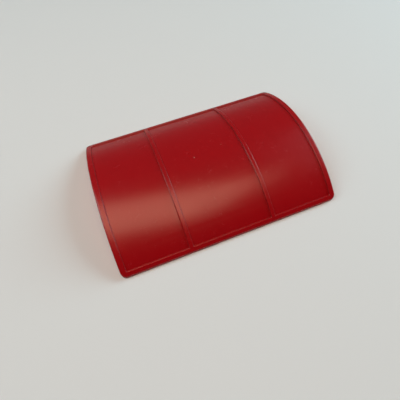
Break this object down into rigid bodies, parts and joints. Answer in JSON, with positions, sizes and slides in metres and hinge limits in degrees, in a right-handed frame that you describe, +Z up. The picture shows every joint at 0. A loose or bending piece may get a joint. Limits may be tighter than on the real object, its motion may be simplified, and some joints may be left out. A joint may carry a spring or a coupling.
{
  "type": "curved panel",
  "caption": "Shallow barrel-vaulted plastic panel with a raised rim, cross ribs and two locating rails underneath, a roof or cover for a small body.",
  "frame": {"origin": "on the plane that the two straight edges rest on, under the middle of the crown", "axes": "+X along the straight edges, +Y across them, +Z up towards the crown"},
  "size_m": [0.15, 0.1068, 0.0212],
  "materials": {
    "red_plastic": "satin, very fine moulded texture"
  },
  "bodies": {
    "root": {"curved_panel": "red_plastic"}
  },
  "joints": []
}
